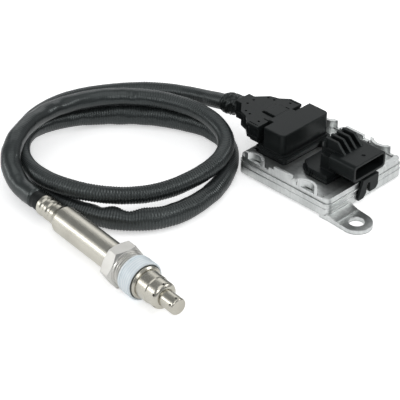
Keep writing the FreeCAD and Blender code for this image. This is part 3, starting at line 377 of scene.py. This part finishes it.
# The noise mustn't swell the sleeve far past its girth, or strands that cross would touch.
radius = girth - 0.16 + 0.22 * slow + (0.12 + 0.45 * loose) * fold + 0.07 * fine + ribs
radius = np.minimum(radius, girth + 0.25)
one_side = np.clip(np.cos(turn - DENT_ANGLE), 0.0, 1.0) ** 2
for where, half_length, depth in DENTS:
    radius = radius - depth * (np.exp(-((arc_mm - where) / half_length) ** 2)[:, None] * one_side)
from_end = np.minimum(arc_mm, arc_mm[-1] - arc_mm)[:, None]
radius = np.minimum(radius, END_RADIUS + 0.9 * from_end) * MM
points = swept(centre, radius, around).reshape(-1, 3)
points[:, 2] = np.maximum(points[:, 2], TABLE_GAP * MM)
print("sleeve radius mm", round(float(radius.min() / MM), 2), round(float(radius.max() / MM), 2))


# %% Sleeve mesh
def tube_faces(rings, sides):
    """Quads between the rings and a cap at each end, all facing outwards."""
    quads = []
    for number in range(rings - 1):
        low = number * sides
        quads += [(low + i, low + (i + 1) % sides, low + sides + (i + 1) % sides, low + sides + i)
                  for i in range(sides)]
    first_cap = tuple(range(sides))[::-1]
    last_cap = tuple(i + (rings - 1) * sides for i in range(sides))
    return quads, [first_cap, last_cap]


def tube_object(name, tube_points, rings, sides, stations):
    """A smooth closed tube with a UV map that runs along it."""
    quads, caps = tube_faces(rings, sides)
    mesh = bpy.data.meshes.new(name)
    mesh.from_pydata([tuple(p) for p in tube_points], [], quads + caps)
    mesh.update()
    mesh.polygons.foreach_set("use_smooth", [len(face) == 4 for face in quads + caps])
    uv = mesh.uv_layers.new(name="along")
    for polygon in mesh.polygons[:len(quads)]:
        number, i = divmod(polygon.index, sides)
        for corner, loop in zip(((0, 0), (0, 1), (1, 1), (1, 0)), polygon.loop_indices):
            uv.data[loop].uv = (stations[number + corner[0]], (i + corner[1]) / sides)
    made = bpy.data.objects.new(name, mesh)
    scene.collection.objects.link(made)
    print(name, "faces", len(mesh.polygons))
    return made


cable_sleeve = tube_object("cable_sleeve", points, ring_count, SIDES, along)

# The crest attribute follows the ribs' wave. The sleeve skin uses it to paint a highlight on each crest and shade
# between.
crest = cable_sleeve.data.attributes.new("crest", "FLOAT", "POINT")
crest.data.foreach_set("value", (0.5 + 0.5 * show * wave).ravel())

body_name = "sensor"
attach(cable_sleeve, body_name)
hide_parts("cable")
print("cable declared on", body_name, "with", len(line), "points")

# %% [markdown]
# ## Skins
# Each finish is one small recipe. The castings are blasted and a little grainy, and painted shade darkens their
# narrow seams. The drawn steel has fine rings from polishing and a breath of heat colour, and the mouldings have a
# spark-eroded grain. No real edge is knife sharp, so the Bevel node bends the shading over the edges of
# castings, steel and mouldings, and they catch the light.


# %% Cast alloy
def cast_alloy():
    """Blasted aluminium: clouded grey, with painted shade in its seams, a slow swell and a fine grain."""
    paint = Paint("cast alloy")
    cloud = paint.noise(45.0, 4.0, 0.6)
    grain = paint.noise(1900.0, 2.0, 0.6)
    pits = paint.noise(520.0, 3.0, 0.7)
    streak = paint.noise(1.0, 3.0, 0.6, paint.scaled(420.0, 420.0, 90.0))
    cast_tone = paint.mix((cloud.ramp(0.35, 0.7) * 0.5 + streak.ramp(0.35, 0.7) * 0.5).clamp(), (0.52, 0.535, 0.53),
                      (0.73, 0.745, 0.735))
    # Painted shade: the Ambient Occlusion node finds seams and hollows, and the colour goes dark grey there.
    seam_shade = paint.node("ShaderNodeAmbientOcclusion", {"samples": 8}, Distance=0.0016).part("AO")
    colour = paint.mix(seam_shade.ramp(0.25, 0.8), (0.10, 0.105, 0.105), cast_tone)
    rough = 0.25 + cloud * 0.13 + grain * 0.06
    swell = paint.noise(110.0, 2.0, 0.5)
    wavy = paint.bump(swell, 0.0009, 0.45, paint.soft_edges(0.0006))
    normal = paint.bump(grain * 0.5 + pits * 0.6, 0.0001, 0.28, wavy)
    return paint.finish({"Metallic": 1.0}, Base_Color=colour, Roughness=rough, Normal=normal)


# %% Drawn and turned steel
def on_probe(paint):
    """Coordinates with their X along the probe's axis."""
    return paint.node("ShaderNodeMapping", {"vector_type": "TEXTURE"}, paint.place,
                      tuple(probe_origin * MM), (0.0, 0.0, probe_turn), (1.0, 1.0, 1.0))


def drawn_steel(name, low, high, ring_scale, roughness, edge):
    """Steel with fine rings round the probe's axis and a slow change between two tints."""
    paint = Paint(name)
    turned = on_probe(paint)
    stretched = paint.node("ShaderNodeVectorMath", {"operation": "MULTIPLY"}, turned, (ring_scale, 14.0, 14.0))
    rings = paint.noise(1.0, 3.0, 0.6, stretched)
    tint = paint.noise(28.0, 3.0, 0.6, turned)
    colour = paint.mix(tint.ramp(0.35, 0.68), low, high)
    rough = roughness + rings * 0.10
    normal = paint.bump(rings, 0.00003, 0.6, paint.soft_edges(edge))
    return paint.finish({"Metallic": 1.0}, Base_Color=colour, Roughness=rough, Normal=normal)


# %% Black mouldings
COOL = (0.92, 1.0, 0.995, 1.0)


def moulding(name, shade, roughness, grain_depth, edge=0.0006, level=0.16):
    """Dark moulded plastic or rubber with a fine grain and a cool sheen."""
    paint = Paint(name)
    grain = paint.noise(2600.0, 2.0, 0.6)
    cloud = paint.noise(60.0, 3.0, 0.5)
    dark = tuple(channel * 0.8 for channel in shade)
    colour = paint.mix(cloud.ramp(0.3, 0.7), dark, shade)
    rough = roughness + cloud * 0.10
    normal = paint.bump(grain, grain_depth, 0.5, paint.soft_edges(edge))
    return paint.finish({"IOR": 1.5, "Specular IOR Level": level, "Specular Tint": COOL},
                        Base_Color=colour, Roughness=rough, Normal=normal)


# %% Sleeve skin
def sleeve_skin():
    """The cable's black skin, smoother on the crest of each rib, with a painted highlight on each crest and painted
    shade between them.
    """
    paint = Paint("sleeve skin")
    cloud = paint.noise(35.0, 4.0, 0.6)
    fine_grain = paint.noise(900.0, 3.0, 0.6)
    crown = paint.node("ShaderNodeAttribute", {"attribute_name": "crest"}).part("Fac")
    # Painted highlight and shade: the colour is paler on each rib's crest and darker in its groove, mixed with a
    # random cloud.
    tone_and_crest_highlight = (cloud.ramp(0.3, 0.7) * 0.4 + crown.ramp(0.25, 0.95) * 0.6).clamp()
    colour = paint.mix(tone_and_crest_highlight, (0.0060, 0.0070, 0.0071), (0.028, 0.0325, 0.0330))
    rough = 0.32 + cloud * 0.12 - crown * 0.14
    normal = paint.bump(fine_grain, 0.00006, 0.5)
    return paint.finish({"IOR": 1.5, "Specular IOR Level": 0.65, "Specular Tint": COOL},
                        Base_Color=colour, Roughness=rough, Normal=normal)


# %% Milky cap
THREAD_PITCH = 0.0015


def milky_cap():
    """Milky plastic through which the thread under it shows as faint rings."""
    paint = Paint("milky cap")
    turned = on_probe(paint)
    cloud = paint.noise(120.0, 3.0, 0.5, turned)
    lengthwise = paint.node("ShaderNodeSeparateXYZ", {}, turned).part("X")
    thread = (lengthwise * (2.0 * math.pi / THREAD_PITCH)).maths("SINE") * 0.5 + 0.5
    colour = paint.mix((cloud.ramp(0.3, 0.7) * 0.35 + thread * 0.65).clamp(), (0.62, 0.71, 0.76), (0.83, 0.87, 0.89))
    rough = 0.28 + cloud * 0.12
    return paint.finish({"IOR": 1.45, "Subsurface Weight": 0.35, "Subsurface Radius": (1.0, 1.0, 1.0),
                         "Subsurface Scale": 0.002}, Base_Color=colour, Roughness=rough)


# %% Hidden finishes
def plain(name, shade, roughness, metallic=0.0):
    """A lightly clouded finish for the pieces inside."""
    paint = Paint(name)
    cloud = paint.noise(300.0, 3.0, 0.5)
    dark = tuple(channel * 0.88 for channel in shade)
    colour = paint.mix(cloud.ramp(0.3, 0.7), dark, shade)
    rough = roughness + cloud * 0.08
    return paint.finish({"Metallic": metallic}, Base_Color=colour, Roughness=rough)


# %% [markdown]
# ## The shrunk boot
# A heat-shrunk boot grips the spout behind the plug. It never shrinks evenly: it draws into twisted folds whose
# crests catch the light. A smooth tube on a short bent line is the boot before it shrinks. A Geometry Nodes
# tree then pushes its outer skin out along ridged noise that is slanted round the tube, because folds follow a
# rule of height, size and twist that is easier to tune than points.

# %% Smooth form of the boot
BOOT_SIDES = 56
BOOT_STEPS = 90
INNER_STEPS = 26
BOOT_LENGTH = BOOT_AHEAD + BOOT_BEHIND
BOOT_BORE = 5.23
BOOT_LEAST = 5.28
BOOT_LIP = 5.2
LIP_ROWS = 4
FOLD_ROOM = 0.6
# Millimetres along the boot, and about its mean radius there.
BOOT_PROFILE = ((0.0, 5.5), (0.5, 5.8), (2.2, 6.2), (4.0, 5.8), (6.6, 5.8), (8.9, 6.2), (12.7, 5.5), (13.9, 5.1))
boot_front = boot_bend + Vector((BOOT_AHEAD, 0.0, 0.0))
boot_steps = np.linspace(0.0, BOOT_LENGTH, BOOT_STEPS)
ahead = np.minimum(boot_steps, BOOT_AHEAD)[:, None] * np.array([-1.0, 0.0, 0.0])
behind = np.maximum(boot_steps - BOOT_AHEAD, 0.0)[:, None] * np.array([-math.cos(droop), 0.0, -math.sin(droop)])
boot_line = np.array(boot_front) + ahead + behind
slack = np.clip(np.minimum(boot_steps / 1.6, (BOOT_LENGTH - boot_steps) / 1.4), 0.0, 1.0)
boot_radius = np.maximum(np.interp(boot_steps, *zip(*BOOT_PROFILE)) - FOLD_ROOM * slack, BOOT_LEAST)
boot_radius[-LIP_ROWS:] = np.minimum(boot_radius[-LIP_ROWS:], BOOT_LIP)
boot_turn = np.linspace(0.0, 2 * math.pi, BOOT_SIDES, endpoint=False)
rows = list(range(INNER_STEPS))[::-1] + list(range(BOOT_STEPS))
row_slack = np.concatenate([np.zeros(INNER_STEPS), slack])
outer = swept(boot_line * MM, np.repeat(boot_radius[:, None], BOOT_SIDES, 1) * MM,
              np.broadcast_to(boot_turn, (BOOT_STEPS, BOOT_SIDES)))
inner = swept(boot_line[:INNER_STEPS] * MM, np.full((INNER_STEPS, BOOT_SIDES), BOOT_BORE * MM),
              np.broadcast_to(boot_turn, (INNER_STEPS, BOOT_SIDES)))
boot_rows = np.concatenate([inner[::-1], outer])
boot_skin = tube_object("boot_skin", boot_rows.reshape(-1, 3), len(rows), BOOT_SIDES, boot_steps[rows] * MM)
for name, values in (("reach", np.repeat(boot_steps[rows], BOOT_SIDES)), ("slack", np.repeat(row_slack, BOOT_SIDES)),
                     ("angle", np.tile(boot_turn, len(rows)))):
    boot_skin.data.attributes.new(name, "FLOAT", "POINT").data.foreach_set("value", values)

# %% Folds of the boot
folds = Growth("boot folds", ("Fold height", "Fold size", "Twist", "Seed"))
reach = folds.attribute("reach")
twisted = folds.attribute("angle") + reach * folds.given.part("Twist")
spot = folds.node("ShaderNodeCombineXYZ", {}, reach / folds.given.part("Fold size") + folds.given.part("Seed"),
                  twisted.maths("COSINE") * 1.5, twisted.maths("SINE") * 1.5)
wander = folds.node("ShaderNodeTexNoise", {}, Vector=spot, Scale=1.0, Detail=0.0)
ridge = (1.0 - (wander - 0.5).maths("ABSOLUTE") * 5.2).clamp() ** 1.6
push = ridge * folds.attribute("slack") * folds.given.part("Fold height")
outward = folds.node("ShaderNodeVectorMath", {"operation": "SCALE"}, folds.node("GeometryNodeInputNormal", {}),
                     Scale=push)
folds.close(folds.node("GeometryNodeSetPosition", {}, folds.given, Offset=outward))
boot_rubber = moulding("boot rubber", (0.011, 0.0125, 0.0125), 0.26, 0.00003, 0.0003, 0.45)
# Height in metres, size in millimetres along the boot, twist in radians for each millimetre.
FOLDS = {"Fold height": 0.0013, "Fold size": 5.0, "Twist": 0.22, "Seed": 5.0}
folds.grow(boot_skin, {**FOLDS, "Material": boot_rubber})
print("boot points", len(boot_skin.data.vertices), FOLDS)
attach(boot_skin, body_name)
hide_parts("cable_boot")

# %% [markdown]
# ## Dressing the solids
# Every solid keeps its own shape and takes the finish that its record names.

# %% Give every node its finish
finishes = {
    "cast_alloy": cast_alloy(),
    "black_moulding": moulding("black moulding", (0.0088, 0.0104, 0.0106), 0.28, 0.00004),
    "stainless": drawn_steel("drawn steel", (0.44, 0.42, 0.365), (0.57, 0.55, 0.485), 9000.0, 0.20, 0.0003),
    "nut_steel": drawn_steel("nut steel", (0.54, 0.53, 0.50), (0.64, 0.63, 0.60), 5000.0, 0.26, 0.0005),
    "boot_rubber": boot_rubber,
    "seal_rubber": moulding("seal rubber", (0.012, 0.013, 0.013), 0.45, 0.00003),
    "cable_sleeve": sleeve_skin(),
    "cap_plastic": milky_cap(),
    "sealant": plain("sealant", (0.05, 0.05, 0.055), 0.6),
    "board": plain("solder resist", (0.03, 0.16, 0.07), 0.4),
    "component_black": plain("chip mould", (0.02, 0.02, 0.02), 0.5),
    "steel": plain("plated steel", (0.6, 0.6, 0.6), 0.3, 1.0),
    "tin_brass": plain("tinned brass", (0.72, 0.66, 0.50), 0.3, 1.0),
    "wire_jacket": plain("wire jacket", (0.10, 0.10, 0.11), 0.5),
    "white_ceramic": plain("white ceramic", (0.80, 0.79, 0.75), 0.5),
    "powder": plain("pressed powder", (0.75, 0.75, 0.71), 0.8),
}
cable_sleeve.data.materials.append(finishes["cable_sleeve"])
slot_of = {entry["node"]: entry["material_slot"] for entry in frame["record"]["subparts"]}
for name, node in frame["nodes"].items():
    finish = finishes[slot_of[name]]
    if node.material_slots:
        node.material_slots[0].material = finish
    else:
        node.data.materials.append(finish)
print("finishes", len(finishes))

# %% [markdown]
# ## Table and light
# The picture has a white sweep and soft lamps. The table is white and keeps a faint shadow. It glows a little
# for the camera, more with distance, so that its far end stays white from low down too. Most lamps stand on the
# camera's side, so that flat tops mirror the dimmer space behind them while upright walls mirror the table.

# %% Table
WHITE = (1.0, 1.0, 1.0, 1.0)
GLOW_NEAR = 0.46
GLOW_RISE = 0.5
GLOW_MIRRORED = 0.26
table_mesh = bpy.data.meshes.new("table")
half = 3.0
table_mesh.from_pydata([(-half, -half, 0.0), (half, -half, 0.0), (half, half, 0.0), (-half, half, 0.0)], [],
                       [(0, 1, 2, 3)])
table = bpy.data.objects.new("table", table_mesh)
scene.collection.objects.link(table)
table_paint = Paint("white table")
ray = table_paint.node("ShaderNodeLightPath", {})
away = table_paint.node("ShaderNodeVectorMath", {"operation": "LENGTH"}, table_paint.place).part("Value")
seen_glow = ray.part("Is Camera Ray") * (GLOW_NEAR + away.ramp(0.4, 1.2) * GLOW_RISE)
white = table_paint.node("ShaderNodeBsdfDiffuse", {}, (0.93, 0.93, 0.93, 1.0))
glow = table_paint.node("ShaderNodeEmission", {}, WHITE, seen_glow + ray.part("Is Glossy Ray") * GLOW_MIRRORED)
both = table_paint.node("ShaderNodeAddShader", {}, white, glow)
table_paint.tree.links.new(both.socket, table_paint.output.inputs["Surface"])
table.data.materials.append(table_paint.material)
print("table", 2 * half, "m wide")


# %% Lamps
def lamp(name, place, target, size, power, size_y=None):
    """A soft rectangular lamp that faces its target."""
    data = bpy.data.lights.new(name, "AREA")
    data.shape = "RECTANGLE"
    data.size = size
    data.size_y = size_y or size
    data.energy = power
    made = bpy.data.objects.new(name, data)
    made.location = place
    made.rotation_euler = (Vector(target) - Vector(place)).to_track_quat("-Z", "Y").to_euler()
    scene.collection.objects.link(made)


lamp("overhead", (0.10, -0.15, 1.1), (-0.03, -0.07, 0.0), 1.0, 3.2)
lamp("left panel", (-0.72, -0.93, 0.36), (-0.05, -0.10, 0.02), 1.1, 2.2, size_y=0.7)
lamp("left strip", (-0.58, -0.78, 0.34), (-0.05, -0.13, 0.01), 0.5, 0.9, size_y=0.14)
lamp("right strip", (0.48, 0.46, 0.55), (-0.03, -0.07, 0.0), 0.5, 1.8, size_y=0.2)
lamp("back panel", (-0.75, 0.63, 0.60), (-0.04, -0.07, 0.0), 1.1, 1.9, size_y=0.55)
lamp("front fill", (0.6, -0.7, 0.75), (-0.05, -0.05, 0.0), 0.5, 2.6)
print("lamps", [light.name for light in bpy.data.lights])

# %% Surroundings
world = bpy.data.worlds.new("surroundings")
scene.world = world
world.use_nodes = True
tree = world.node_tree
tree.nodes.clear()
seen = tree.nodes.new("ShaderNodeBackground")
seen.inputs["Color"].default_value = WHITE
seen.inputs["Strength"].default_value = 1.0
unseen = tree.nodes.new("ShaderNodeBackground")
unseen.inputs["Color"].default_value = (0.95, 0.98, 1.0, 1.0)
unseen.inputs["Strength"].default_value = 0.32
camera_ray = tree.nodes.new("ShaderNodeLightPath")
blend = tree.nodes.new("ShaderNodeMixShader")
world_out = tree.nodes.new("ShaderNodeOutputWorld")
tree.links.new(camera_ray.outputs["Is Camera Ray"], blend.inputs[0])
tree.links.new(unseen.outputs[0], blend.inputs[1])
tree.links.new(seen.outputs[0], blend.inputs[2])
tree.links.new(blend.outputs[0], world_out.inputs["Surface"])
scene.view_settings.view_transform = "Standard"
print("world", scene.world.name, "light", round(unseen.inputs["Strength"].default_value, 2))
